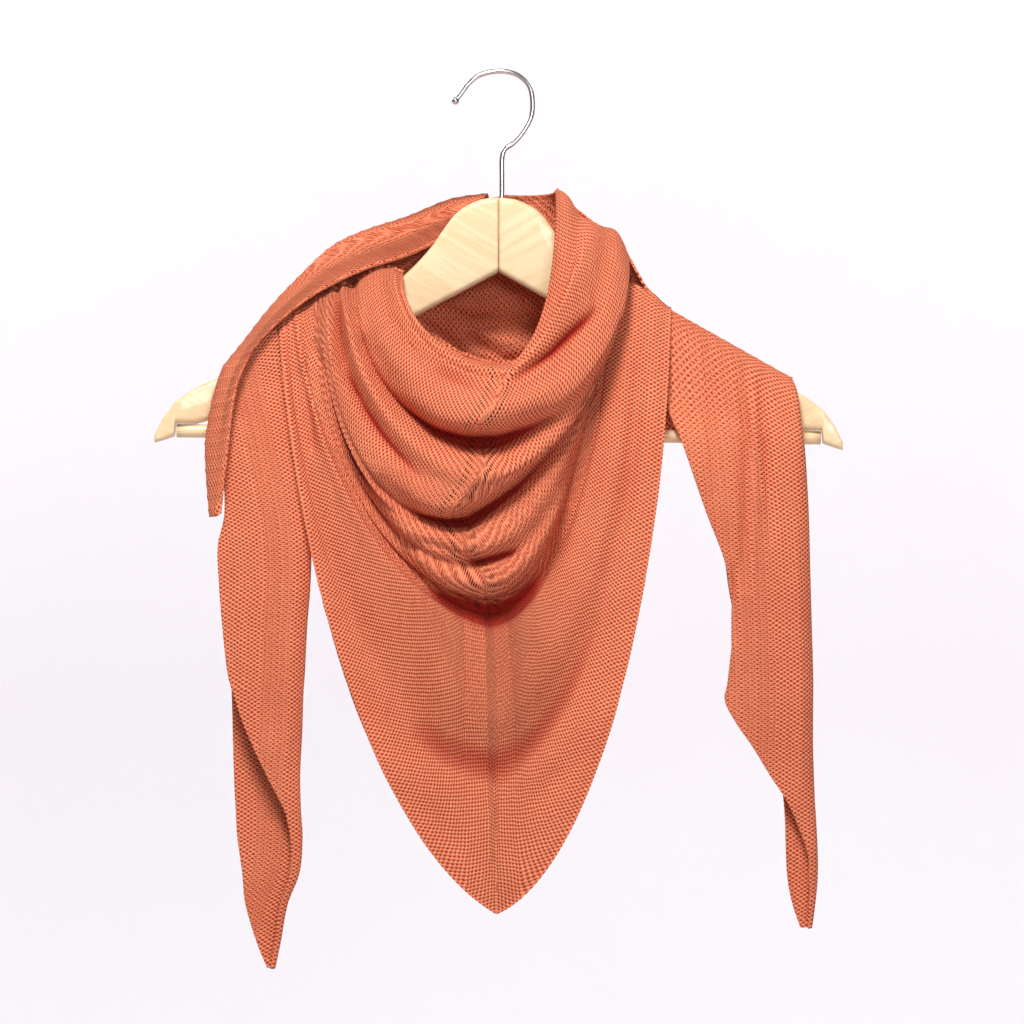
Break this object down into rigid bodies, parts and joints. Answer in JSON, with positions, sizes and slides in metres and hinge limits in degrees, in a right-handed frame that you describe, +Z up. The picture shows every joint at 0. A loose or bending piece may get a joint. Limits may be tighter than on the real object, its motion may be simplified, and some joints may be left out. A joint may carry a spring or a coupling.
{
  "type": "knitted triangular shawl on a wooden clothes hanger",
  "caption": "Knitted triangular shawl draped as it is worn, with a cowl in front, a point below it and an end hanging as a tail over each arm of a wooden clothes hanger.",
  "frame": {"origin": "where the inside of the hanger's hook rests on what it hangs from", "axes": "+Z up from the shawl's point to the hook, +X to the right of the wearer's front as seen from in front, +Y from the front of the shawl to its back"},
  "size_m": [0.439, 0.1283, 0.5765],
  "materials": {
    "terracotta_knit": "matte wool knit, garter and plain stitch",
    "maple_wood": "pale satin lacquer",
    "chromed_wire": "polished"
  },
  "bodies": {
    "root": {"hook": "chromed_wire", "hanger_arm_left": "maple_wood", "hanger_arm_right": "maple_wood", "trouser_bar": "maple_wood", "neck_cowl": "terracotta_knit", "front_point": "terracotta_knit", "left_band": "terracotta_knit", "left_tail": "terracotta_knit", "right_tail": "terracotta_knit", "back_cross_inner": "terracotta_knit", "back_cross_outer": "terracotta_knit"}
  },
  "joints": []
}
